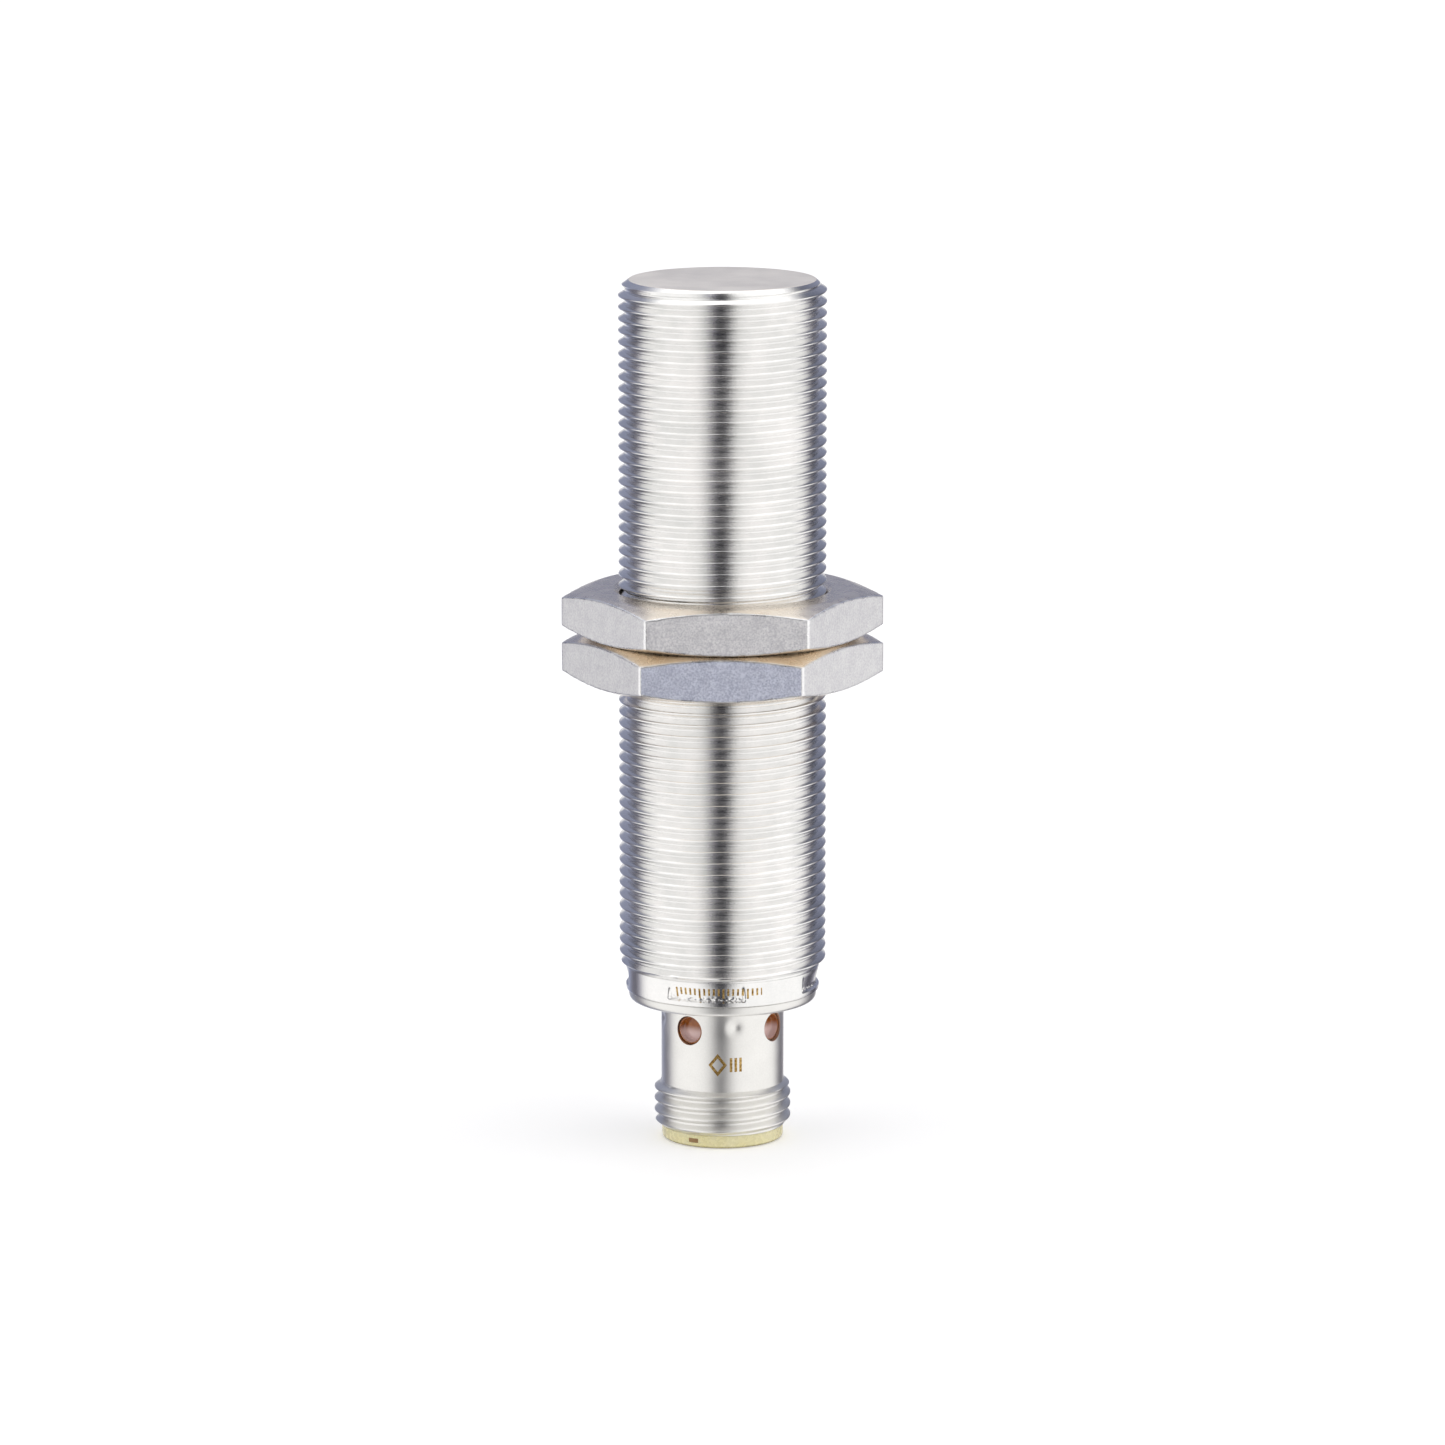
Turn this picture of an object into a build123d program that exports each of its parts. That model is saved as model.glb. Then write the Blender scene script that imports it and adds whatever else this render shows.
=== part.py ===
# M18 x 1 all-metal inductive proximity sensor with an M12 x 1 plug and two lock nuts.
# Millimetres. Z runs along the barrel from the plug end (z = 0) up to the sensing face.
import math
import os

from build123d import *

os.makedirs("parts", exist_ok=True)

# ---- driving dimensions
total_length = 75.0
pitch = 1.0                      # both threads
running_gap = 0.05               # radial, nut bore over thread
cut_past = 1.0                   # how far a cutting shape runs past what it cuts

# barrel, M18 x 1
barrel_r = 9.0
barrel_bore_r = 7.4
thread_root_r = 8.4
face_thickness = 0.8
rim_r = 8.0                      # flat part of the sensing face
rim_height = 0.7
thread_start = 15.7
run_out = 0.35                   # cone from the collar up to the thread
collar_r = 8.35
collar_start = 13.2
stake_low = 13.6
stake_high = 15.0
stake_depth = 0.25
stake_span = 47.0                # degrees
stake_azimuth = -10.5            # degrees to the right of the front

# lock nuts
nut_across_flats = 24.0
nut_height = 4.0
nut_face_r = 11.4                # where the chamfer meets the flat
nut_chamfer_angle = 18.0
nuts_meet = 44.3
upper_nut_azimuth = 1.7
lower_nut_azimuth = -0.5
ring_r = 11.3
ring_thickness = 0.3
root_band = 0.65 * pitch         # axial width of the stand-in band inside the upper nut

# connector shell, M12 x 1
shell_bottom = 1.15
plug_thread_r = 6.0
plug_thread_end = 4.95
plug_chamfer = 0.35
nose_r = 5.3
flange_r = 8.1
flange_bottom = 12.3
spigot_top = 17.0
shell_bore_r = 4.9
spigot_bore_r = 6.2
spigot_bore_start = 12.8
window_r = 1.25
window_z = 10.3
window_azimuth = -33.5
dimple_azimuth = 12.5
dimple_z = 10.7
dimple_r = 0.75
dimple_depth = 0.12
seal_r = 0.5
seal_z = 15.6

# contact carrier
carrier_r = 5.25
socket_r = 4.4
socket_depth = 8.3               # floor that the pins stand on
carrier_step = 8.9
carrier_plug_r = 3.85
carrier_top = 12.3
key_azimuth = -29.0
key_width = 1.0
key_depth = 0.6
key_start = 0.9

# contacts
pin_r = 0.5
pin_circle_r = 2.5
pin_tip = 1.2
pin_top = 14.0
pin_root_r = 0.7                 # inside the carrier
pin_tail_r = 0.4
pin_tail_low = 13.0
pin_collar_r = 0.9
pin_collar_low = 9.4
pin_collar_high = 10.2
pin_count = 4

# indicator lights
light_low = 9.0
light_high = 11.7
light_pad_r = 1.2
light_pad_reach = 5.0
led_size = (0.8, 1.0, 0.5)
led_r = 4.4
led_board_low = 12.85
led_board_high = 13.45
led_board_r = 6.15
led_board_hole_r = 3.9

# sensing coil
insulator_thickness = 0.3
core_r = 7.0
core_height = 7.0
core_back = 1.5
core_wall = 1.2
core_post_r = 2.6
cup_floor = 0.9
bobbin_inner_r = 2.7
bobbin_outer_r = 5.7
bobbin_wall = 0.4
winding_r = 5.4
coil_lead_r = 0.2
coil_lead_x = 4.2
lead_hole_r = 0.3

# electronics
board_width = 12.4
board_thickness = 1.0
board_low = 18.5
board_high = 57.0
pin_lead_r = 0.3
pin_lead_bend_r = 1.0
pin_lead_bend = 1.4              # above the pin's end: the first bend, where it lies flat, and its end
pin_lead_landing = 4.2
pin_lead_end = 7.7
coil_lead_overlap = 3.0          # the coil leads' soldered length on the board
potting_low = 17.4

# ---- heights worked out from the above
thread_top = total_length - rim_height
cavity_top = total_length - face_thickness
core_top = cavity_top - insulator_thickness
core_bottom = core_top - core_height
cup_bottom = core_bottom - cup_floor
board_face = board_thickness / 2


def on_circle(radius, azimuth):
    """A point at a radius, azimuth degrees to the right of the front (-Y)."""
    a = math.radians(azimuth)
    return (radius * math.sin(a), -radius * math.cos(a))


def turned(azimuth, height=0.0):
    """A horizontal plane whose local -Y points at the azimuth."""
    return Plane.XY.offset(height).rotated((0, 0, azimuth))


def write(piece, name):
    piece.part.label = name
    export_step(piece.part, f"parts/{name}.step")


# ---- housing
with BuildPart() as housing:
    with BuildSketch(Plane.XZ):
        with BuildLine():
            Polyline(
                (0, total_length),
                (rim_r, total_length),
                (barrel_r, thread_top),
                (barrel_r, thread_start),
                (collar_r, thread_start - run_out),
                (collar_r, collar_start),
                (barrel_bore_r, collar_start),
                (barrel_bore_r, cavity_top),
                (0, cavity_top),
                close=True,
            )
        make_face()
    revolve(axis=Axis.Z)
    # stand-in, the real thread runs on: a band at root diameter parts the plain cylinder in two,
    # so that the free stretch above the nuts is a wall of its own for the m18_thread mount
    band_top = nuts_meet + nut_height
    with BuildSketch(Plane.XY.offset(band_top - root_band)):
        Circle(barrel_r + cut_past)
        Circle(thread_root_r, mode=Mode.SUBTRACT)
    extrude(amount=root_band, mode=Mode.SUBTRACT)
    # stamped staking recesses that hold the connector shell
    stake_bottom_r = collar_r - stake_depth
    half = stake_span / 2
    for k in range(4):
        azimuth = stake_azimuth + 90 * k
        with BuildSketch(turned(azimuth, stake_low)):
            with BuildLine():
                inner = CenterArc((0, 0), stake_bottom_r, -90 - half, stake_span)
                outer = CenterArc((0, 0), barrel_r, -90 - half, stake_span)
                Line(inner @ 0, outer @ 0)
                Line(inner @ 1, outer @ 1)
            make_face()
        extrude(amount=stake_high - stake_low, mode=Mode.SUBTRACT)
write(housing, "housing")

# ---- lock nuts
corner_r = nut_across_flats / math.sqrt(3)
chamfer_slope = math.tan(math.radians(nut_chamfer_angle))
chamfer_drop = (corner_r - nut_face_r) * chamfer_slope
bore_r = barrel_r + running_gap


def make_nut(bottom, azimuth, ring_at_top):
    """A hexagon nut chamfered on both sides, with a shallow seat for its bearing ring."""
    top = bottom + nut_height
    with BuildPart() as nut:
        with BuildSketch(turned(azimuth, bottom)):
            RegularPolygon(corner_r, 6, rotation=0)
        extrude(amount=nut_height)
        with BuildSketch(Plane.XZ):
            with BuildLine():
                Polyline(
                    (0, bottom),
                    (nut_face_r, bottom),
                    (corner_r + cut_past, bottom + chamfer_drop + cut_past * chamfer_slope),
                    (corner_r + cut_past, top - chamfer_drop - cut_past * chamfer_slope),
                    (nut_face_r, top),
                    (0, top),
                    close=True,
                )
            make_face()
        revolve(axis=Axis.Z, mode=Mode.INTERSECT)
        with Locations((0, 0, bottom)):
            Hole(bore_r, depth=3 * nut_height)
        seat = top - ring_thickness if ring_at_top else bottom
        with BuildSketch(Plane.XY.offset(seat)):
            Circle(ring_r + running_gap)
        extrude(amount=ring_thickness, mode=Mode.SUBTRACT)
    return nut


def make_ring(bottom):
    """The nut's bearing face, a thin ring that only slides, while the nut turns in it."""
    with BuildPart() as ring:
        with BuildSketch(Plane.XY.offset(bottom)):
            Circle(ring_r)
            Circle(bore_r, mode=Mode.SUBTRACT)
        extrude(amount=ring_thickness)
    return ring


write(make_nut(nuts_meet, upper_nut_azimuth, False), "upper_nut")
write(make_ring(nuts_meet), "upper_nut_ring")
write(make_nut(nuts_meet - nut_height, lower_nut_azimuth, True), "lower_nut")
write(make_ring(nuts_meet - ring_thickness), "lower_nut_ring")

# ---- connector shell
groove_r = barrel_bore_r - 2 * seal_r
window_start_r = shell_bore_r - cut_past
with BuildPart() as shell:
    with BuildSketch(Plane.XZ):
        with BuildLine():
            Polyline(
                (shell_bore_r, shell_bottom),
                (plug_thread_r - plug_chamfer, shell_bottom),
                (plug_thread_r, shell_bottom + plug_chamfer),
                (plug_thread_r, plug_thread_end - plug_chamfer),
                (nose_r, plug_thread_end),
                (nose_r, flange_bottom),
                (flange_r - plug_chamfer, flange_bottom),
                (flange_r, flange_bottom + plug_chamfer),
                (flange_r, collar_start),
                (barrel_bore_r, collar_start),
                (barrel_bore_r, seal_z - seal_r),
                (groove_r, seal_z - seal_r),
                (groove_r, seal_z + seal_r),
                (barrel_bore_r, seal_z + seal_r),
                (barrel_bore_r, spigot_top),
                (spigot_bore_r, spigot_top),
                (spigot_bore_r, spigot_bore_start),
                (shell_bore_r, spigot_bore_start),
                close=True,
            )
        make_face()
    revolve(axis=Axis.Z)
    for k in range(4):
        x, y = on_circle(window_start_r, window_azimuth + 90 * k)
        outward = Vector(x, y, 0).normalized()
        with BuildSketch(Plane(origin=(x, y, window_z), z_dir=outward)):
            Circle(window_r)
        extrude(amount=nose_r + cut_past - window_start_r, mode=Mode.SUBTRACT)
    # small round staking dimples between the windows
    for k in range(4):
        x, y = on_circle(nose_r - dimple_depth, dimple_azimuth + 90 * k)
        outward = Vector(x, y, 0).normalized()
        with BuildSketch(Plane(origin=(x, y, dimple_z), z_dir=outward)):
            Circle(dimple_r)
        extrude(amount=cut_past, mode=Mode.SUBTRACT)
write(shell, "connector_shell")

with BuildPart() as spigot_seal:
    with BuildSketch(Plane.XZ):
        with Locations((barrel_bore_r - seal_r, seal_z)):
            Circle(seal_r)
    revolve(axis=Axis.Z)
write(spigot_seal, "spigot_seal")

# ---- contacts and their carrier
pin_azimuths = [key_azimuth + 45 + 90 * k for k in range(pin_count)]


def make_pin(place):
    """A contact pin: rounded tip, and a collar that locks it in the carrier."""
    with BuildPart() as pin:
        with BuildSketch(Plane(origin=place, x_dir=(1, 0, 0), z_dir=(0, -1, 0))):
            with BuildLine():
                JernArc((0, pin_tip), (1, 0), pin_r, 90)
                Polyline(
                    (pin_r, pin_tip + pin_r),
                    (pin_r, socket_depth),
                    (pin_root_r, socket_depth),
                    (pin_root_r, pin_collar_low),
                    (pin_collar_r, pin_collar_low),
                    (pin_collar_r, pin_collar_high),
                    (pin_root_r, pin_collar_high),
                    (pin_root_r, pin_tail_low),
                    (pin_tail_r, pin_tail_low),
                    (pin_tail_r, pin_top),
                    (0, pin_top),
                    (0, pin_tip),
                )
            make_face()
        revolve(axis=Axis(place, (0, 0, 1)))
    return pin


pin_places = [Vector(*on_circle(pin_circle_r, a), 0) for a in pin_azimuths]
contact_pins = [make_pin(place) for place in pin_places]
for number, contact_pin in enumerate(contact_pins, start=1):
    write(contact_pin, f"contact_pin_{number}")

with BuildPart() as carrier:
    with BuildSketch(Plane.XZ):
        with BuildLine():
            Polyline(
                (0, socket_depth),
                (socket_r, socket_depth),
                (socket_r, 0),
                (carrier_r, 0),
                (carrier_r, shell_bottom),
                (shell_bore_r, shell_bottom),
                (shell_bore_r, carrier_step),
                (carrier_plug_r, carrier_step),
                (carrier_plug_r, carrier_top),
                (0, carrier_top),
                close=True,
            )
        make_face()
    revolve(axis=Axis.Z)
    # coding key, a rib down the socket wall
    rib_tip = socket_r - key_depth
    rib_foot = socket_r + key_depth / 3
    with BuildSketch(turned(key_azimuth, key_start)):
        with Locations((0, -(rib_foot + rib_tip) / 2)):
            Rectangle(key_width, rib_foot - rib_tip)
    extrude(amount=socket_depth - key_start)
    for contact_pin in contact_pins:
        add(contact_pin.part, mode=Mode.SUBTRACT)
write(carrier, "contact_carrier")

# ---- indicator lights
with BuildPart() as light_ring:
    with BuildSketch(Plane.XY.offset(light_low)):
        Circle(shell_bore_r)
    extrude(amount=light_high - light_low)
    for k in range(4):
        x, y = on_circle(window_start_r, window_azimuth + 90 * k)
        outward = Vector(x, y, 0).normalized()
        with BuildSketch(Plane(origin=(x, y, window_z), z_dir=outward)):
            Circle(light_pad_r)
        extrude(amount=light_pad_reach - window_start_r)
    with Locations((0, 0, light_low)):
        Hole(carrier_plug_r, depth=3 * (light_high - light_low))
write(light_ring, "light_ring")

with BuildPart() as led_board:
    with BuildSketch(Plane.XY.offset(led_board_low)):
        Circle(led_board_r)
        Circle(led_board_hole_r, mode=Mode.SUBTRACT)
    extrude(amount=led_board_high - led_board_low)
write(led_board, "led_board")

for k in range(4):
    with BuildPart() as led:
        with BuildSketch(turned(window_azimuth + 90 * k, led_board_low)):
            with Locations((0, -led_r)):
                Rectangle(led_size[1], led_size[0])
        extrude(amount=-led_size[2])
    write(led, f"led_{k + 1}")

# ---- sensing coil
with BuildPart() as face_insulator:
    with BuildSketch(Plane.XY.offset(core_top)):
        Circle(barrel_bore_r)
    extrude(amount=insulator_thickness)
write(face_insulator, "face_insulator")

lead_places = [(-coil_lead_x, -board_face - coil_lead_r), (coil_lead_x, -board_face - coil_lead_r)]
bobbin_bottom = core_bottom + core_back
flange_top = bobbin_bottom + bobbin_wall

with BuildPart() as ferrite_core:
    with BuildSketch(Plane.XY.offset(core_bottom)):
        Circle(core_r)
    extrude(amount=core_height)
    with BuildSketch(Plane.XY.offset(bobbin_bottom)):
        Circle(core_r - core_wall)
        Circle(core_post_r, mode=Mode.SUBTRACT)
    extrude(amount=core_height, mode=Mode.SUBTRACT)
    with BuildSketch(Plane.XY.offset(core_bottom)):
        with Locations(*lead_places):
            Circle(lead_hole_r)
    extrude(amount=core_back, mode=Mode.SUBTRACT)
write(ferrite_core, "ferrite_core")

with BuildPart() as coil_bobbin:
    with BuildSketch(Plane.XY.offset(bobbin_bottom)):
        Circle(bobbin_outer_r)
    extrude(amount=core_top - bobbin_bottom)
    with BuildSketch(Plane.XY.offset(flange_top)):
        Circle(bobbin_outer_r)
        Circle(bobbin_inner_r + bobbin_wall, mode=Mode.SUBTRACT)
    extrude(amount=core_top - bobbin_bottom - 2 * bobbin_wall, mode=Mode.SUBTRACT)
    with Locations((0, 0, bobbin_bottom)):
        Hole(bobbin_inner_r, depth=3 * core_height)
    with BuildSketch(Plane.XY.offset(bobbin_bottom)):
        with Locations(*lead_places):
            Circle(lead_hole_r)
    extrude(amount=bobbin_wall, mode=Mode.SUBTRACT)
write(coil_bobbin, "coil_bobbin")

with BuildPart() as coil_winding:
    with BuildSketch(Plane.XY.offset(flange_top)):
        Circle(winding_r)
        Circle(bobbin_inner_r + bobbin_wall, mode=Mode.SUBTRACT)
    extrude(amount=core_top - bobbin_bottom - 2 * bobbin_wall)
write(coil_winding, "coil_winding")

with BuildPart() as coil_cup:
    with BuildSketch(Plane.XY.offset(cup_bottom)):
        Circle(barrel_bore_r)
    extrude(amount=core_top - cup_bottom)
    with BuildSketch(Plane.XY.offset(core_bottom)):
        Circle(core_r)
    extrude(amount=core_height, mode=Mode.SUBTRACT)
    with BuildSketch(Plane.XY.offset(cup_bottom)):
        with Locations(*lead_places):
            Circle(lead_hole_r)
    extrude(amount=cup_floor, mode=Mode.SUBTRACT)
write(coil_cup, "coil_cup")

lead_foot = board_high - coil_lead_overlap
coil_leads = []
for number, place in enumerate(lead_places, start=1):
    with BuildPart() as coil_lead:
        with BuildSketch(Plane.XY.offset(lead_foot)):
            with Locations(place):
                Circle(coil_lead_r)
        extrude(amount=flange_top - lead_foot)
    write(coil_lead, f"coil_lead_{number}")
    coil_leads.append(coil_lead.part)

# ---- circuit board and what is on it
with BuildPart() as circuit_board:
    with BuildSketch(Plane.XY.offset(board_low)):
        Rectangle(board_width, board_thickness)
    extrude(amount=board_high - board_low)
write(circuit_board, "circuit_board")

# name: side of the board (-1 front, 1 back), x, z of its centre, width, height, thickness
components = {
    "controller_chip": (-1, 0.0, 44.0, 5.0, 5.0, 1.0),
    "output_transistor": (-1, 0.0, 30.0, 4.5, 6.0, 1.6),
    "capacitor_1": (1, -2.6, 48.0, 2.8, 3.5, 1.9),
    "capacitor_2": (1, 2.6, 30.0, 2.8, 3.5, 1.9),
    "resistor_1": (-1, -4.6, 50.0, 0.8, 1.6, 0.5),
    "resistor_2": (-1, 4.6, 50.0, 0.8, 1.6, 0.5),
    "resistor_3": (1, 3.6, 40.0, 0.8, 1.6, 0.5),
    "resistor_4": (-1, 4.6, 36.0, 0.8, 1.6, 0.5),
}
mounted = []
for name, (side, x, z, width, height, thickness) in components.items():
    seat_plane = Plane(origin=(x, side * board_face, z), x_dir=(1, 0, 0), z_dir=(0, side, 0))
    with BuildPart() as component:
        with BuildSketch(seat_plane):
            Rectangle(width, height)
        extrude(amount=thickness)
    write(component, name)
    mounted.append(component.part)

# short wires from the contact pins up to the board's faces
pin_leads = []
for number, place in enumerate(pin_places, start=1):
    side = 1 if place.Y > 0 else -1
    foot = Vector(place.X, place.Y, pin_top)
    bend = foot + Vector(0, 0, pin_lead_bend)
    landing_y = side * (board_face + pin_lead_r)
    landing = Vector(place.X, landing_y, pin_top + pin_lead_landing)
    end = Vector(place.X, landing_y, pin_top + pin_lead_end)
    with BuildPart() as pin_lead:
        with BuildLine() as route:
            FilletPolyline(foot, bend, landing, end, radius=pin_lead_bend_r)
        with BuildSketch(Plane.XY.offset(pin_top)):
            with Locations((place.X, place.Y)):
                Circle(pin_lead_r)
        sweep()
    write(pin_lead, f"pin_lead_{number}")
    pin_leads.append(pin_lead.part)

# ---- cast resin, filling the tube around the electronics
with BuildPart() as potting:
    with BuildSketch(Plane.XY.offset(potting_low)):
        Circle(barrel_bore_r)
    extrude(amount=cup_bottom - potting_low)
    for piece in [circuit_board.part, *mounted, *coil_leads, *pin_leads]:
        add(piece, mode=Mode.SUBTRACT)
write(potting, "potting")
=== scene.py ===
import math

import bmesh
import bpy
from mathutils import Matrix, Vector, noise


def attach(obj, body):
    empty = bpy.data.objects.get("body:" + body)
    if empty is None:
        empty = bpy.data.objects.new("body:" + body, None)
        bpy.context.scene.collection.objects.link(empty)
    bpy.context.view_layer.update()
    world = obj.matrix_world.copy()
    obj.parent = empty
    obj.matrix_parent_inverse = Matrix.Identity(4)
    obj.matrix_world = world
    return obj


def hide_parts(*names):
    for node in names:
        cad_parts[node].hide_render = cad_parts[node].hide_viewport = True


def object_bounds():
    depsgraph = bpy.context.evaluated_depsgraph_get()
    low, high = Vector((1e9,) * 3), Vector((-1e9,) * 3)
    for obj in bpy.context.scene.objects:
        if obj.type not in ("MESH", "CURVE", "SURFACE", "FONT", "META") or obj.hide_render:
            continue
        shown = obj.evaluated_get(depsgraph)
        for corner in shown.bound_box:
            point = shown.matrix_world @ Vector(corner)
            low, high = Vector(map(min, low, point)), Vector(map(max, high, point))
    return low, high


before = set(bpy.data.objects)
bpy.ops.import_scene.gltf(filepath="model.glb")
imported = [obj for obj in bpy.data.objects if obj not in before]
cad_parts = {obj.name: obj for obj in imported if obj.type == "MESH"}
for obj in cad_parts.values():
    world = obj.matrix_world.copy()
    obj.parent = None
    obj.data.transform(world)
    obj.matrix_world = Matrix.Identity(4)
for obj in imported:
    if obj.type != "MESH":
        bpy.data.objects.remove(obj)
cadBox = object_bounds()
mm = 0.001
print("frame loaded:", len(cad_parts), "nodes")


def toLinear(hexColour):
    parts = [int(hexColour[i:i + 2], 16) / 255 for i in (1, 3, 5)]
    return tuple(c / 12.92 if c <= 0.04045 else ((c + 0.055) / 1.055) ** 2.4 for c in parts) + (1.0,)


# one node with its settings; inputs takes plain values or the output sockets to link
def addNode(tree, kind, inputs=None, **settings):
    node = tree.nodes.new(kind)
    for key, value in settings.items():
        setattr(node, key, value)
    for key, value in (inputs or {}).items():
        if isinstance(value, bpy.types.NodeSocket):
            tree.links.new(value, node.inputs[key])
        else:
            node.inputs[key].default_value = value
    return node


# ---- camera, light and floor

stageSettings = {
    "lens": 180.67,
    "cameraPlace": (0.0, -0.6134, 0.1543),
    "cameraPitch": 79.13,
    "floorSize": 12.0,
    "floorColour": "#F4F4F4",
    "floorGlow": 0.28,           # lifts the soft shadow at the foot
    # heights below are sines of the elevation
    "overheadLow": 0.6,          # where the bright ceiling starts behind the object
    "overheadHigh": 0.85,
    "ceilingLevel": 1.5,
    "horizonLow": -0.02,         # the table's tones give way to the walls' here
    "horizonHigh": 0.06,
    "deepHigh": -0.8,            # straight below, all is white
    "deepLow": -0.95,
    "deepLevel": 1.0,
    "whiteLight": "#FFFEFD",
    "darkLight": "#ECE9FF",
    "backLight": "#CDD4F3",
}

# the light tent as the object sees it: (degrees to the right of the front, brightness, colour)
tentWalls = [
    (-180, 0.42, "backLight"), (-160, 0.44, "backLight"), (-134, 0.32, "backLight"), (-121, 0.1, "darkLight"),
    (-111, 0.2, "darkLight"), (-100, 0.7, "whiteLight"), (-86, 1.05, "whiteLight"), (-43, 1.12, "whiteLight"),
    (-25, 0.88, "whiteLight"), (-14, 0.35, "darkLight"), (-8, 0.03, "darkLight"), (6, 0.03, "darkLight"),
    (12, 0.4, "whiteLight"), (20, 0.95, "whiteLight"), (36, 1.15, "whiteLight"), (90, 1.2, "whiteLight"),
    (106, 0.95, "whiteLight"), (118, 0.42, "darkLight"), (130, 0.08, "darkLight"), (142, 0.22, "backLight"),
    (165, 0.4, "backLight"), (180, 0.42, "backLight"),
]
# and the table that it stands round
tentTable = [
    (-180, 1.0, "whiteLight"), (-166, 0.95, "whiteLight"), (-156, 0.75, "backLight"), (-146, 0.45, "backLight"),
    (-137, 0.22, "darkLight"), (-126, 0.14, "darkLight"), (-118, 0.4, "darkLight"), (-109, 0.95, "whiteLight"),
    (-96, 1.13, "whiteLight"), (-30, 1.1, "whiteLight"), (-21, 0.86, "whiteLight"), (-14, 0.45, "whiteLight"),
    (-9, 0.12, "darkLight"), (-5, 0.02, "darkLight"), (3, 0.02, "darkLight"), (6, 0.16, "darkLight"),
    (11, 0.64, "whiteLight"), (18, 1.0, "whiteLight"), (28, 1.12, "whiteLight"), (110, 1.15, "whiteLight"),
    (119, 0.75, "whiteLight"), (128, 0.3, "darkLight"), (135, 0.1, "darkLight"), (146, 0.1, "darkLight"),
    (156, 0.4, "darkLight"), (165, 0.9, "whiteLight"), (180, 1.0, "whiteLight"),
]


def makeCamera(s):
    data = bpy.data.cameras.new("camera")
    data.lens = s["lens"]
    data.sensor_width = 36
    data.clip_start = 0.01
    camera = bpy.data.objects.new("camera", data)
    camera.location = s["cameraPlace"]
    camera.rotation_euler = (math.radians(s["cameraPitch"]), 0, 0)
    bpy.context.scene.collection.objects.link(camera)
    bpy.context.scene.camera = camera


# a round light tent with a slit for the camera and a grey back, and a plain white surround behind the object
def makeTent(s):
    world = bpy.data.worlds.new("lightTent")
    world.use_nodes = True
    bpy.context.scene.world = world
    tree = world.node_tree
    tree.nodes.clear()
    way = addNode(tree, "ShaderNodeTexCoord").outputs["Generated"]
    part = addNode(tree, "ShaderNodeSeparateXYZ", {0: way})
    front = addNode(tree, "ShaderNodeMath", {0: part.outputs["Y"], 1: -1.0}, operation="MULTIPLY")
    angle = addNode(tree, "ShaderNodeMath", {0: part.outputs["X"], 1: front.outputs[0]}, operation="ARCTAN2")
    share = addNode(tree, "ShaderNodeMapRange", {"Value": angle.outputs[0], "From Min": -math.pi,
                                                 "From Max": math.pi})
    peak = max(level for _, level, _ in tentWalls)
    around = []
    for band in (tentWalls, tentTable):
        ramp = addNode(tree, "ShaderNodeValToRGB", {"Fac": share.outputs[0]})
        stops = ramp.color_ramp.elements
        while len(stops) < len(band):
            stops.new(1.0)
        for stop, (degrees, level, colour) in zip(stops, band):
            stop.position = degrees / 360 + 0.5
            stop.color = tuple(c * level / peak for c in toLinear(s[colour])[:3]) + (1.0,)
        around.append(ramp.outputs[0])
    high = addNode(tree, "ShaderNodeMapRange", {"Value": part.outputs["Z"], "From Min": s["overheadLow"],
                                                "From Max": s["overheadHigh"]}, interpolation_type="SMOOTHSTEP")
    behind = addNode(tree, "ShaderNodeMapRange", {"Value": front.outputs[0], "From Min": 0.2, "From Max": -0.1})
    over = addNode(tree, "ShaderNodeMath", {0: high.outputs[0], 1: behind.outputs[0]}, operation="MULTIPLY")
    above = addNode(tree, "ShaderNodeMapRange", {"Value": part.outputs["Z"], "From Min": s["horizonLow"],
                                                 "From Max": s["horizonHigh"]})
    deep = addNode(tree, "ShaderNodeMapRange", {"Value": part.outputs["Z"], "From Min": s["deepHigh"],
                                                "From Max": s["deepLow"]})
    white = toLinear(s["whiteLight"])[:3]
    ceiling = tuple(c * s["ceilingLevel"] / peak for c in white) + (1.0,)
    below = tuple(c * s["deepLevel"] / peak for c in white) + (1.0,)
    sides = addNode(tree, "ShaderNodeMix", {"Factor": above.outputs[0], 6: around[1], 7: around[0]},
                    data_type="RGBA")
    topped = addNode(tree, "ShaderNodeMix", {"Factor": over.outputs[0], 6: sides.outputs[2], 7: ceiling},
                     data_type="RGBA")
    whole = addNode(tree, "ShaderNodeMix", {"Factor": deep.outputs[0], 6: topped.outputs[2], 7: below},
                    data_type="RGBA")
    room = addNode(tree, "ShaderNodeBackground", {"Color": whole.outputs[2], "Strength": peak})
    surround = addNode(tree, "ShaderNodeBackground", {"Color": (1, 1, 1, 1), "Strength": 1.0})
    path = addNode(tree, "ShaderNodeLightPath").outputs["Is Camera Ray"]
    mix = addNode(tree, "ShaderNodeMixShader", {0: path, 1: room.outputs[0], 2: surround.outputs[0]})
    addNode(tree, "ShaderNodeOutputWorld", {0: mix.outputs[0]})


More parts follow.
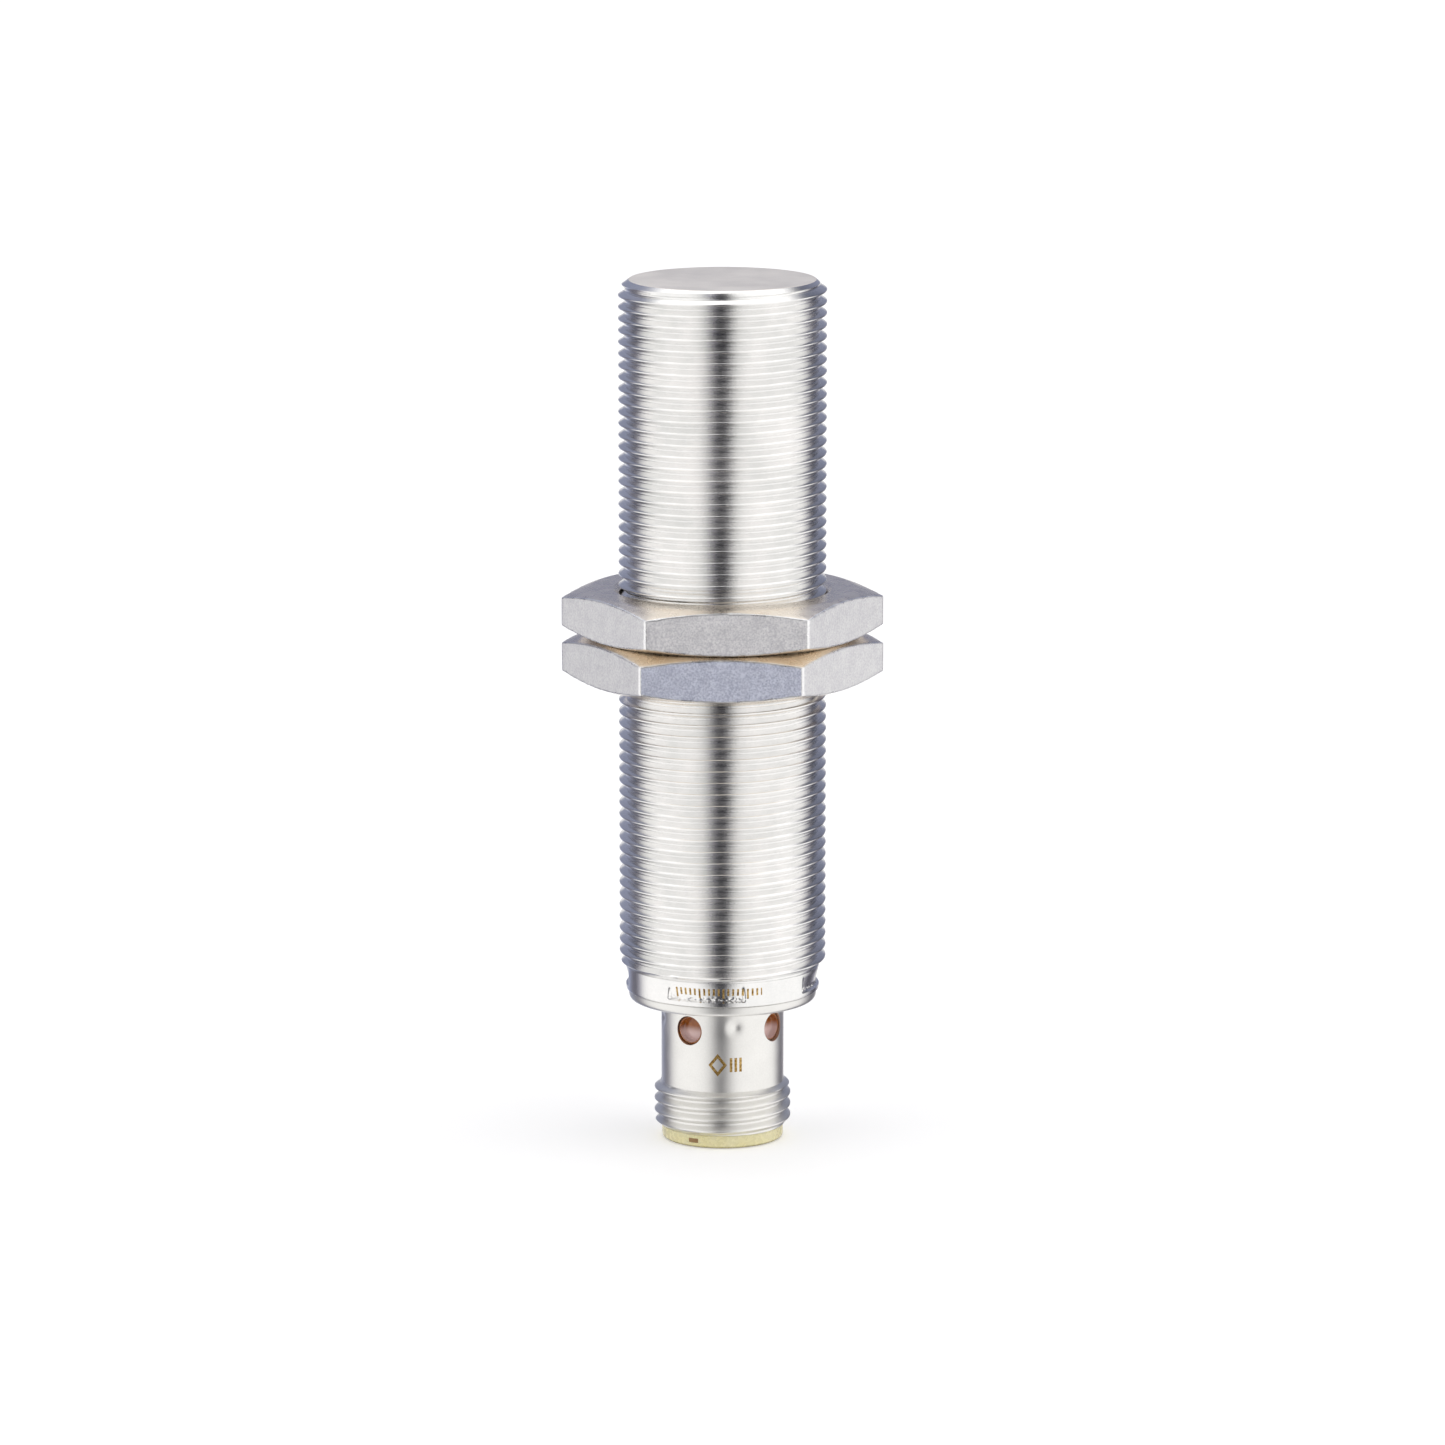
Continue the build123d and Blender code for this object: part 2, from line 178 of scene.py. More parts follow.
# the pale floor gives light and takes the shadow; reflections see the tent's table instead
def makeFloor(s):
    half = s["floorSize"] / 2
    data = bpy.data.meshes.new("paperFloor")
    data.from_pydata([(-half, -half, 0), (half, -half, 0), (half, half, 0), (-half, half, 0)], [], [(0, 1, 2, 3)])
    material = bpy.data.materials.new("paperFloor")
    material.use_nodes = True
    shader = material.node_tree.nodes["Principled BSDF"]
    shader.inputs["Base Color"].default_value = toLinear(s["floorColour"])
    shader.inputs["Roughness"].default_value = 0.9
    shader.inputs["Specular IOR Level"].default_value = 0.1
    shader.inputs["Emission Color"].default_value = (1, 1, 1, 1)
    shader.inputs["Emission Strength"].default_value = s["floorGlow"]
    data.materials.append(material)
    floor = bpy.data.objects.new("paperFloor", data)
    bpy.context.scene.collection.objects.link(floor)
    floor.visible_glossy = False


makeCamera(stageSettings)
bpy.context.scene.view_settings.view_transform = "Standard"
makeTent(stageSettings)
makeFloor(stageSettings)
print("stage set")


# ---- screw threads, by Geometry Nodes

# one turn of a cut 60 degree thread: (share of the pitch along the axis, share of the depth)
cutProfile = [(-0.045, 0), (0.045, 0), (0.085, 0.05), (0.37, 0.865), (0.42, 0.955), (0.47, 0.995), (0.53, 0.995),
              (0.58, 0.955), (0.63, 0.865), (0.915, 0.05)]
# the plug's thread is rolled, so its crests are rounder
rolledProfile = [(-0.05, 0), (0.05, 0), (0.12, 0.13), (0.2, 0.38), (0.33, 0.8), (0.41, 0.97), (0.5, 1),
                 (0.59, 0.97), (0.67, 0.8), (0.8, 0.38), (0.88, 0.13)]


def makeThreadTree(name, profile):
    tree = bpy.data.node_groups.new(name, "GeometryNodeTree")
    wanted = {
        "Int": ["Segments", "Turns", "First turn"],
        "Float": ["Pitch", "Crest radius", "Root radius", "Crest height", "Low end", "High end",
                  "Low radius", "High radius", "Low slope", "High slope"],
        "Bool": ["Bore"],
        "Material": ["Finish"],
    }
    for kind, names in wanted.items():
        for socketName in names:
            tree.interface.new_socket(name=socketName, in_out="INPUT", socket_type=f"NodeSocket{kind}")
    tree.interface.new_socket(name="Geometry", in_out="OUTPUT", socket_type="NodeSocketGeometry")
    given = addNode(tree, "NodeGroupInput").outputs
    known = {name: given[name] for names in wanted.values() for name in names}
    known["index"] = addNode(tree, "GeometryNodeInputIndex").outputs[0]
    rows = len(profile)
    # which column, turn and step of the profile a grid point is
    gridSteps = [
        ("across", "ADD", "Segments", 1), ("along", "MULTIPLY_ADD", "Turns", rows, 1),
        ("indexMiddle", "ADD", "index", 0.5), ("columnPlace", "DIVIDE", "indexMiddle", "along"),
        ("column", "FLOOR", "columnPlace"), ("columnStart", "MULTIPLY", "column", "along"),
        ("row", "SUBTRACT", "index", "columnStart"), ("rowMiddle", "ADD", "row", 0.5),
        ("turnPlace", "DIVIDE", "rowMiddle", rows), ("turn", "FLOOR", "turnPlace"),
        ("turnStart", "MULTIPLY", "turn", rows), ("step", "SUBTRACT", "row", "turnStart"),
        ("around", "DIVIDE", "column", "Segments"), ("angle", "MULTIPLY", "around", math.tau),
        ("cosine", "COSINE", "angle"), ("sine", "SINE", "angle"),
    ]
    # the rows climb by one pitch in each turn, so every crest runs along the mesh, and the ends are trimmed square
    shapeSteps = [
        ("climb", "ADD", "rise", "around"), ("fullTurns", "ADD", "First turn", "turn"),
        ("turns", "ADD", "fullTurns", "climb"), ("free", "MULTIPLY_ADD", "turns", "Pitch", "Crest height"),
        ("raised", "MAXIMUM", "free", "Low end"), ("height", "MINIMUM", "raised", "High end"),
        ("depth", "SUBTRACT", "Root radius", "Crest radius"),
        ("cut", "MULTIPLY_ADD", "sink", "depth", "Crest radius"),
        ("overLow", "SUBTRACT", "height", "Low end"), ("underHigh", "SUBTRACT", "High end", "height"),
        ("lowCone", "MULTIPLY_ADD", "overLow", "Low slope", "Low radius"),
        ("highCone", "MULTIPLY_ADD", "underHigh", "High slope", "High radius"),
        ("smallCone", "MINIMUM", "lowCone", "highCone"), ("outer", "MINIMUM", "cut", "smallCone"),
        ("largeCone", "MAXIMUM", "lowCone", "highCone"), ("inner", "MAXIMUM", "cut", "largeCone"),
        ("boreGap", "SUBTRACT", "inner", "outer"), ("radius", "MULTIPLY_ADD", "Bore", "boreGap", "outer"),
        ("x", "MULTIPLY", "radius", "cosine"), ("y", "MULTIPLY", "radius", "sine"),
    ]
    for stage in (gridSteps, shapeSteps):
        for result, operation, *values in stage:
            inputs = {number: known.get(value, value) for number, value in enumerate(values)}
            known[result] = addNode(tree, "ShaderNodeMath", inputs, operation=operation).outputs[0]
        if stage is gridSteps:
            for part, result in enumerate(("rise", "sink")):
                pick = addNode(tree, "GeometryNodeIndexSwitch", data_type="FLOAT")
                while len(pick.index_switch_items) < rows:
                    pick.index_switch_items.new()
                tree.links.new(known["step"], pick.inputs["Index"])
                for number, point in enumerate(profile):
                    pick.inputs[1 + number].default_value = point[part]
                known[result] = pick.outputs[0]
    grid = addNode(tree, "GeometryNodeMeshGrid", {"Vertices X": known["across"], "Vertices Y": known["along"]})
    place = addNode(tree, "ShaderNodeCombineXYZ", {"X": known["x"], "Y": known["y"], "Z": known["height"]})
    moved = addNode(tree, "GeometryNodeSetPosition", {"Geometry": grid.outputs["Mesh"],
                                                      "Position": place.outputs[0]})
    welded = addNode(tree, "GeometryNodeMergeByDistance", {"Geometry": moved.outputs[0], "Distance": 2e-6})
    faced = addNode(tree, "GeometryNodeFlipFaces", {"Mesh": welded.outputs[0], "Selection": known["Bore"]})
    real = addNode(tree, "GeometryNodeRealizeInstances", {"Geometry": faced.outputs[0]})
    finish = addNode(tree, "GeometryNodeSetMaterial", {"Geometry": real.outputs[0], "Material": known["Finish"]})
    addNode(tree, "NodeGroupOutput", {"Geometry": finish.outputs[0]})
    return tree


# a plain mesh of one thread; sizes in millimetres
def makeThread(tree, material, segments, pitch, crestR, rootR, crestZ, low, high, lowR, highR, lowSlope, highSlope,
               bore=False):
    firstTurn = math.floor((low - crestZ) / pitch) - 2
    turns = math.ceil((high - low) / pitch) + 4
    values = {
        "Segments": segments, "Turns": turns, "First turn": firstTurn, "Pitch": pitch * mm,
        "Crest radius": crestR * mm, "Root radius": rootR * mm, "Crest height": crestZ * mm,
        "Low end": low * mm, "High end": high * mm, "Low radius": lowR * mm, "High radius": highR * mm,
        "Low slope": float(lowSlope), "High slope": float(highSlope), "Bore": bore, "Finish": material,
    }
    holder = bpy.data.objects.new("threadHolder", bpy.data.meshes.new("threadHolder"))
    bpy.context.scene.collection.objects.link(holder)
    modifier = holder.modifiers.new("thread", "NODES")
    modifier.node_group = tree
    for item in tree.interface.items_tree:
        if item.in_out == "INPUT":
            modifier[item.identifier] = values[item.name]
    bpy.context.view_layer.update()
    graph = bpy.context.evaluated_depsgraph_get()
    mesh = bpy.data.meshes.new_from_object(holder.evaluated_get(graph))
    bpy.data.objects.remove(holder)
    return mesh


# ---- turned shapes

# rings of an outline around the axis; shape may change a point by its angle. Sizes in millimetres
def turnOutline(mesh, outline, angles, shape=None, material=0):
    made = []
    for radius, height in outline:
        if radius == 0:
            made.append([mesh.verts.new((0, 0, height * mm))])
            continue
        ring = []
        for angle in angles:
            r, z = shape(angle, radius, height) if shape else (radius, height)
            ring.append(mesh.verts.new((r * math.cos(angle) * mm, r * math.sin(angle) * mm, z * mm)))
        made.append(ring)
    count = len(angles)
    for first, second in zip(made, made[1:]):
        for i in range(count):
            j = (i + 1) % count
            corners = [first[i % len(first)], first[j % len(first)],
                       second[j % len(second)], second[i % len(second)]]
            corners = list(dict.fromkeys(corners))
            if len(corners) > 2:
                mesh.faces.new(corners).material_index = material
    return made


def evenAngles(count, start=0.0):
    return [start + math.tau * i / count for i in range(count)]


# weld, point the faces outwards, mark the sharp edges, and make the object
def finishMesh(mesh, name, materials, sharpAngle=35, weld=2e-6):
    bmesh.ops.remove_doubles(mesh, verts=mesh.verts, dist=weld)
    bmesh.ops.dissolve_degenerate(mesh, edges=mesh.edges, dist=1e-7)
    bmesh.ops.recalc_face_normals(mesh, faces=mesh.faces)
    for face in mesh.faces:
        face.smooth = True
    limit = math.radians(sharpAngle)
    for edge in mesh.edges:
        if len(edge.link_faces) == 2:
            edge.smooth = edge.calc_face_angle(0) < limit
        else:
            print("open edge on", name, [tuple(round(c / mm, 3) for c in v.co) for v in edge.verts])
    data = bpy.data.meshes.new(name)
    mesh.to_mesh(data)
    mesh.free()
    for material in materials:
        data.materials.append(material)
    piece = bpy.data.objects.new(name, data)
    bpy.context.scene.collection.objects.link(piece)
    return piece


def joinMesh(mesh, other, turnedBy=0.0, material=0):
    if turnedBy:
        other.transform(Matrix.Rotation(turnedBy, 4, "Z"))
    before = len(mesh.faces)
    mesh.from_mesh(other)
    mesh.faces.ensure_lookup_table()
    for face in mesh.faces[before:]:
        face.material_index = material
    bpy.data.meshes.remove(other)


def frontAngle(azimuth):
    return math.radians(azimuth - 90)


# ---- materials

# streaks and speckle in object space; stretch is the scale along X, Y and Z in repeats per metre
def addNoise(tree, stretch, detail=3.0, roughness=0.6):
    place = addNode(tree, "ShaderNodeTexCoord").outputs["Object"]
    mapped = addNode(tree, "ShaderNodeMapping", {"Vector": place, "Scale": stretch})
    texture = addNode(tree, "ShaderNodeTexNoise",
                      {"Vector": mapped.outputs[0], "Scale": 1.0, "Detail": detail, "Roughness": roughness})
    return texture.outputs["Fac"]


# dark below the low value, light above the high one
def addTwoTones(tree, value, dark, light, low=0.3, high=0.7):
    share = addNode(tree, "ShaderNodeMapRange", {"Value": value, "From Min": low, "From Max": high})
    tone = addNode(tree, "ShaderNodeMix", {"Factor": share.outputs[0], 6: toLinear(dark), 7: toLinear(light)},
                   data_type="RGBA")
    return tone.outputs[2]


# bare metal: grain is the direction that the tool or the drawn bar left, speckle the fine pitting between
def makeMetal(name, s, marks=None):
    material = bpy.data.materials.new(name)
    material.use_nodes = True
    tree = material.node_tree
    shader = tree.nodes["Principled BSDF"]
    grain = addNoise(tree, s["grain"])
    speckle = addNoise(tree, (s["speckle"],) * 3, detail=2)
    cloud = addNoise(tree, (s["cloud"],) * 3, detail=2)
    shade = addNode(tree, "ShaderNodeMath", {0: speckle, 1: s["speckleTone"], 2: cloud}, operation="MULTIPLY_ADD")
    middle = 0.5 + 0.5 * s["speckleTone"]
    reach = 0.12 + 0.12 * s["speckleTone"]
    colour = addTwoTones(tree, shade.outputs[0], s["dark"], s["light"], middle - reach, middle + reach)
    rough = addNode(tree, "ShaderNodeMapRange", {"Value": cloud, "From Min": 0.3, "From Max": 0.7,
                                                 "To Min": s["rough"][0], "To Max": s["rough"][1]}).outputs[0]
    mixed = addNode(tree, "ShaderNodeMath", {0: speckle, 1: s["speckleBump"], 2: grain}, operation="MULTIPLY_ADD")
    bump = addNode(tree, "ShaderNodeBump", {"Height": mixed.outputs[0], "Distance": s["bump"] * mm})
    shader.inputs["Metallic"].default_value = 1.0
    if marks:
        colour, rough = marks["maker"](tree, marks, colour, rough)
    tree.links.new(colour, shader.inputs["Base Color"])
    tree.links.new(rough, shader.inputs["Roughness"])
    tree.links.new(bump.outputs[0], shader.inputs["Normal"])
    return material


# laser marks, tarnished golden; the steps say where they lie from the azimuth in degrees and the height
def burnMarks(tree, s, colour, rough):
    place = addNode(tree, "ShaderNodeSeparateXYZ", {0: addNode(tree, "ShaderNodeTexCoord").outputs["Object"]})
    known = {"x": place.outputs["X"], "y": place.outputs["Y"], "z": place.outputs["Z"]}
    toAzimuth = [("front", "MULTIPLY", "y", -1), ("radians", "ARCTAN2", "x", "front"),
                 ("azimuth", "DEGREES", "radians")]
    for result, operation, *values in toAzimuth + s["steps"]:
        inputs = {number: known.get(value, value) for number, value in enumerate(values)}
        known[result] = addNode(tree, "ShaderNodeMath", inputs, operation=operation).outputs[0]
    inside = known[s["steps"][-1][0]]
    wear = addNoise(tree, (s["grit"],) * 3, detail=2)
    burnt = addTwoTones(tree, wear, s["dark"], s["light"], 0.38, 0.62)
    tinted = addNode(tree, "ShaderNodeMix", {"Factor": inside, 6: colour, 7: burnt}, data_type="RGBA")
    dulled = addNode(tree, "ShaderNodeMix", {"Factor": inside, 2: rough, 3: s["rough"]})
    return tinted.outputs[2], dulled.outputs[0]


# a ruled row of ticks round the collar, with a long one at every fifth
tickStep, tickShare, longEvery, longMore = 2.9, 0.42, 5, 0.25
collarMarks = {
    "maker": burnMarks, "grit": 6000, "dark": "#7D5A26", "light": "#D9B878", "rough": 0.42,
    "steps": [
        ("cell", "DIVIDE", "azimuth", tickStep), ("phase", "FRACT", "cell"),
        ("tick", "LESS_THAN", "phase", tickShare),
        ("longCell", "DIVIDE", "azimuth", tickStep * longEvery), ("longPhase", "FRACT", "longCell"),
        ("long", "LESS_THAN", "longPhase", tickShare / longEvery),
        ("foot", "MULTIPLY_ADD", "long", -longMore * mm, 14.22 * mm), ("above", "GREATER_THAN", "z", "foot"),
        ("below", "LESS_THAN", "z", 14.85 * mm), ("right", "GREATER_THAN", "azimuth", -30.0),
        ("left", "LESS_THAN", "azimuth", 24.0), ("rows", "MULTIPLY", "above", "below"),
        ("columns", "MULTIPLY", "right", "left"), ("area", "MULTIPLY", "rows", "columns"),
        ("mask", "MULTIPLY", "area", "tick"),
    ],
}
# an outlined diamond and three bars on the nose
markHeight, markWidth, markMiddle = 1.0, 0.8, 7.45
noseMarks = {
    "maker": burnMarks, "grit": 7000, "dark": "#8A6428", "light": "#D8B877", "rough": 0.42,
    "steps": [
        ("arc", "MULTIPLY", "radians", 5.3), ("side", "ADD", "arc", 0.42), ("sideAway", "ABSOLUTE", "side"),
        ("sideShare", "DIVIDE", "sideAway", markWidth), ("rise", "MULTIPLY_ADD", "z", 1 / mm, -markMiddle),
        ("riseAway", "ABSOLUTE", "rise"), ("riseShare", "DIVIDE", "riseAway", markHeight),
        ("reach", "ADD", "sideShare", "riseShare"), ("within", "LESS_THAN", "reach", 1.0),
        ("beyond", "GREATER_THAN", "reach", 0.6), ("diamond", "MULTIPLY", "within", "beyond"),
        ("barPlace", "ADD", "arc", -0.62), ("barCell", "DIVIDE", "barPlace", 0.42),
        ("barPhase", "FRACT", "barCell"),
        ("barLine", "LESS_THAN", "barPhase", 0.55), ("barStart", "GREATER_THAN", "barCell", 0.0),
        ("barEnd", "LESS_THAN", "barCell", 3.0), ("barRows", "LESS_THAN", "riseAway", 0.62),
        ("barSpan", "MULTIPLY", "barStart", "barEnd"), ("barShape", "MULTIPLY", "barLine", "barRows"),
        ("bars", "MULTIPLY", "barSpan", "barShape"), ("mask", "MAXIMUM", "diamond", "bars"),
    ],
}

# stainless steel, turned: mirror-like, a little warm, with faint lines running round it.
# Scales are repeats per metre, 1000 over the size in millimetres
barrelFinish = {
    "grain": (500, 500, 9000),       # tool marks about 0.11 mm apart
    "speckle": 7000,                 # pits about 0.14 mm
    "cloud": 260,
    "speckleTone": 0.5,
    "speckleBump": 0.7,
    "bump": 0.006,
    "rough": (0.16, 0.23),
    "dark": "#EBEBEA",
    "light": "#F7F6F5",
}
collarFinish = dict(barrelFinish, grain=(500, 500, 11000), bump=0.005, rough=(0.17, 0.23))
noseFinish = dict(barrelFinish, grain=(300, 300, 12000), bump=0.004, rough=(0.31, 0.38),
                  dark="#E9E8E5", light="#F3F2EF")
# the same steel faced across the end with a fine feed: satin, greyer
faceFinish = dict(barrelFinish, grain=(900, 900, 900), bump=0.004, rough=(0.6, 0.68),
                  dark="#E4E0DC", light="#EFEBE7")
# nickel-bright hexagon bar as drawn: dull, with upright grain and bright pits
flatFinish = {
    "grain": (4600, 4600, 1200),     # grain about 0.22 mm wide and 0.8 mm long
    "speckle": 6200,
    "cloud": 900,
    "speckleTone": 2.5,
    "speckleBump": 0.6,
    "bump": 0.028,
    "rough": (0.62, 0.72),
    "dark": "#EEEDF0",
    "light": "#FFFFFF",
}
# the front and back flats of a nut are painted darker than the rest as painted shade, and bluer on the lower nut
# as a painted reflection of the blue-grey back
paintedShadeFlatFinish = dict(flatFinish, dark="#DEDDE1", light="#FCFBFC")
paintedBlueShadeFlatFinish = dict(flatFinish, dark="#C6CADC", light="#ECEFFB")
# the nut's turned ends and chamfers: smoother and warmer, so they glow tan where they face each other
endFinish = dict(flatFinish, grain=(900, 900, 900), speckleTone=0.4, bump=0.004, rough=(0.24, 0.32),
                 dark="#F1E8DC", light="#F9F1E6")
# burrs and corners rubbed bright
edgeFinish = dict(flatFinish, grain=(5200, 5200, 5200), bump=0.02, rough=(0.22, 0.42),
                  dark="#EDEDEF", light="#FDFDFD")

barrelSteel = makeMetal("turnedBarrelStainless", barrelFinish)
collarSteel = makeMetal("turnedCollarStainless", collarFinish, collarMarks)
noseSteel = makeMetal("turnedNoseStainless", noseFinish, noseMarks)
faceSteel = makeMetal("facedEndStainless", faceFinish)
nutFlatSteel = makeMetal("drawnHexagonStainless", flatFinish)
# painted shade for the nuts' front and back flats, with a painted bluish reflection on the lower nut
nutPaintedShadeSteel = makeMetal("drawnHexagonStainlessPaintedShade", paintedShadeFlatFinish)
nutPaintedBlueShadeSteel = makeMetal("drawnHexagonStainlessPaintedBlueShade", paintedBlueShadeFlatFinish)
nutEndSteel = makeMetal("turnedNutEndStainless", endFinish)
nutEdgeSteel = makeMetal("rubbedNutEdgeStainless", edgeFinish)
# gold flash on brass contacts: yellow, smooth, with faint drawing lines
contactGold = makeMetal("platedContactGold", dict(barrelFinish, grain=(6000, 6000, 500), bump=0.002,
                                                  rough=(0.12, 0.2), dark="#D9A94A", light="#F0C873"))
# enamelled copper wire: orange-brown and glossy, with the turns showing as fine rings
woundCopper = makeMetal("enamelledCopperWire", dict(barrelFinish, grain=(200, 200, 5000), bump=0.03,
                                                    rough=(0.2, 0.32), dark="#A4532B", light="#C9773F"))


# plastics, resin, rubber and ceramic: two close tones, fine surface grain and, where see-through, transmission
def makeMoulded(name, s):
    material = bpy.data.materials.new(name)
    material.use_nodes = True
    tree = material.node_tree
    shader = tree.nodes["Principled BSDF"]
    grain = addNoise(tree, s.get("grain", (2500, 2500, 2500)))
    cloud = addNoise(tree, (s.get("cloud", 400),) * 3, detail=2)
    colour = addTwoTones(tree, cloud, s["dark"], s["light"])
    # the optional lower band is painted light: painted shade along the carrier's bottom rim and a painted pale
    # reflection in the lower half of a lens dish
    if "foot" in s:
        paintedLowColour, low, high = s["foot"]
        place = addNode(tree, "ShaderNodeSeparateXYZ", {0: addNode(tree, "ShaderNodeTexCoord").outputs["Object"]})
        near = addNode(tree, "ShaderNodeMapRange", {"Value": place.outputs["Z"], "From Min": high * mm,
                                                    "From Max": low * mm}, interpolation_type="SMOOTHSTEP")
        colour = addNode(tree, "ShaderNodeMix", {"Factor": near.outputs[0], 6: colour, 7: toLinear(paintedLowColour)},
                         data_type="RGBA").outputs[2]
    tree.links.new(colour, shader.inputs["Base Color"])
    rough = addNode(tree, "ShaderNodeMapRange", {"Value": grain, "From Min": 0.3, "From Max": 0.7,
                                                 "To Min": s["rough"][0], "To Max": s["rough"][1]})
    tree.links.new(rough.outputs[0], shader.inputs["Roughness"])
    bump = addNode(tree, "ShaderNodeBump", {"Height": grain, "Distance": s.get("bump", 0.004) * mm})
    tree.links.new(bump.outputs[0], shader.inputs["Normal"])
    shader.inputs["IOR"].default_value = s.get("ior", 1.5)
    shader.inputs["Transmission Weight"].default_value = s.get("clear", 0.0)
    shader.inputs["Subsurface Weight"].default_value = s.get("soft", 0.0)
    shader.inputs["Subsurface Scale"].default_value = 0.6 * mm
    shader.inputs["Subsurface Radius"].default_value = (1.0, 0.9, 0.5)
    return material


finishes = {
    # unfilled polyurethane, moulded: pale yellow-green, a little see-through, soft gloss, with a painted olive
    # shade along its bottom rim
    "mouldedCarrierPolyurethanePaintedShade": {"dark": "#EBE2AE", "light": "#F1E9C0", "rough": (0.22, 0.32), "clear": 0.05,
                                   "soft": 0.3, "bump": 0.0005, "foot": ("#8A7C42", 0.02, 0.26)},
    # the gate scar on the carrier's rim, browner and duller
    "trimmedGateScar": {"dark": "#8C6B43", "light": "#A98760", "rough": (0.5, 0.65), "bump": 0.01},
    # amber polycarbonate, moulded: deep orange-brown, glossy
    "mouldedAmberPolycarbonate": {"dark": "#8F4B0A", "light": "#B8680F", "rough": (0.06, 0.12), "ior": 1.585,
                                  "clear": 0.2, "bump": 0.001},
    # the lens dish: the same amber, toned darker as painted shade in the hollow, with a painted pale pinkish
    # reflection of the floor in its lower half
    "dishedAmberPolycarbonatePaintedShadeAndReflection": {"dark": "#7F3F08", "light": "#A05A16", "rough": (0.05, 0.1), "ior": 1.585,
                                 "bump": 0.001, "cloud": 1500, "foot": ("#DDBFBA", 9.9, 10.7)},
    # black nitrile rubber ring: matte, slightly dusty
    "mouldedNitrileRubber": {"dark": "#121213", "light": "#1E1E20", "rough": (0.55, 0.7)},
    # glass-epoxy laminate under green solder mask: weave just showing through the gloss
    "maskedBoardLaminate": {"dark": "#0F4A2A", "light": "#17603A", "rough": (0.28, 0.4),
                            "grain": (1600, 1600, 1600)},
    # black epoxy of the chips, moulded with a fine matt texture
    "mouldedChipEpoxy": {"dark": "#17171A", "light": "#232327", "rough": (0.45, 0.6)},
    # tantalum capacitor case: warm yellow resin
    "castCapacitorCase": {"dark": "#B8862B", "light": "#CF9F3F", "rough": (0.35, 0.5)},
    # resistor alumina under black glaze
    "glazedResistorAlumina": {"dark": "#26262B", "light": "#3A3A41", "rough": (0.2, 0.35)},
    # clear epoxy round the light dies, faintly yellow
    "castLightResin": {"dark": "#E6D9A0", "light": "#F3EBC6", "rough": (0.1, 0.18), "clear": 0.6},
    # sintered ferrite: dark grey, fine-grained, slightly metallic to the eye
    "sinteredFerrite": {"dark": "#2B2B2E", "light": "#3C3C40", "rough": (0.4, 0.55), "grain": (5000, 5000, 5000)},
    # nylon former, moulded: off-white
    "mouldedFormerNylon": {"dark": "#D9D5C8", "light": "#E6E3D8", "rough": (0.4, 0.52), "soft": 0.2},
    # polyurethane filling, cast: near black, slightly wavy
    "castFillingResin": {"dark": "#1B1B1E", "light": "#28282C", "rough": (0.25, 0.4), "cloud": 150},
    # lead insulation, extruded: plain red, soft gloss
    "extrudedLeadInsulation": {"dark": "#A1261F", "light": "#B5362D", "rough": (0.35, 0.48)},
}
moulded = {name: makeMoulded(name, s) for name, s in finishes.items()}
print("materials made")

# the inner pieces keep their CAD shape and get their real finish
innerFinishes = {
    moulded["mouldedNitrileRubber"]: ["spigot_seal"],
    moulded["maskedBoardLaminate"]: ["circuit_board", "led_board"],
    moulded["mouldedChipEpoxy"]: ["controller_chip", "output_transistor"],
    moulded["castCapacitorCase"]: ["capacitor_1", "capacitor_2"],
    moulded["glazedResistorAlumina"]: ["resistor_1", "resistor_2", "resistor_3", "resistor_4"],
    moulded["castLightResin"]: ["led_1", "led_2", "led_3", "led_4"],
    moulded["sinteredFerrite"]: ["ferrite_core"],
    moulded["mouldedFormerNylon"]: ["coil_bobbin", "coil_cup", "face_insulator"],
    moulded["castFillingResin"]: ["potting"],
    moulded["extrudedLeadInsulation"]: ["pin_lead_1", "pin_lead_2", "pin_lead_3", "pin_lead_4"],
    woundCopper: ["coil_winding", "coil_lead_1", "coil_lead_2"],
}
for material, names in innerFinishes.items():
    for name in names:
        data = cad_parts[name].data
        data.materials.clear()
        data.materials.append(material)


def finishPiece(piece, slot, body, *nodes):
    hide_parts(*nodes)
    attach(piece, body)


# ---- housing: threaded barrel, sensing face and staked collar

housingSettings = {
    "segments": 120,
    "collarParts": 4,            # the collar's columns for each of the thread's, for its scuffed recesses
    "crestRadius": 8.92,
    "rootRadius": 8.3,
    "pitch": 1.0,
    "crestHeight": 0.11,         # a crest's middle at +X, above a whole number of turns
    "faceRadius": 8.02,
    "faceEdge": 0.05,
    "rimHeight": 0.7,
    "collarRadius": 8.35,
    "collarTop": 15.35,
    "threadRise": 1.3,
    "collarStart": 13.2,
    "boreRadius": 7.4,
    "faceThickness": 0.8,
    "stakeAzimuth": -10.5,
    "stakeSpan": 47.0,
    "stakeTop": 15.1,
    "stakeLow": 13.62,
    "stakeFoot": 0.12,
    "scuffTop": 14.1,
    "stakeSide": 1.0,
    "stakeDepth": 0.3,
    "stakeRough": 0.09,
}


# depth of the four stamped recesses: it fades in from above and ends in a rough step
def stakeDepth(s, angle, height):
    azimuth = math.degrees(angle) + 90 - s["stakeAzimuth"]
    fromMiddle = abs((azimuth + 45) % 90 - 45)
    side = min(1, max(0, (s["stakeSpan"] / 2 - fromMiddle) / s["stakeSide"]))
    down = min(1, max(0, (s["stakeTop"] - height) / (s["stakeTop"] - s["stakeLow"]) * 1.3))
    foot = min(1, max(0, (height - s["stakeLow"]) / s["stakeFoot"]))
    coarse = noise.noise(Vector((math.cos(angle) * 30, math.sin(angle) * 30, height * 3)))
    fine = noise.noise(Vector((math.cos(angle) * 110, math.sin(angle) * 110, height * 14)))
    scuffed = min(1, max(0, (s["scuffTop"] - height) / 0.15))
    return (s["stakeDepth"] * down + (coarse * 0.3 + fine) * s["stakeRough"] * scuffed) * side * foot


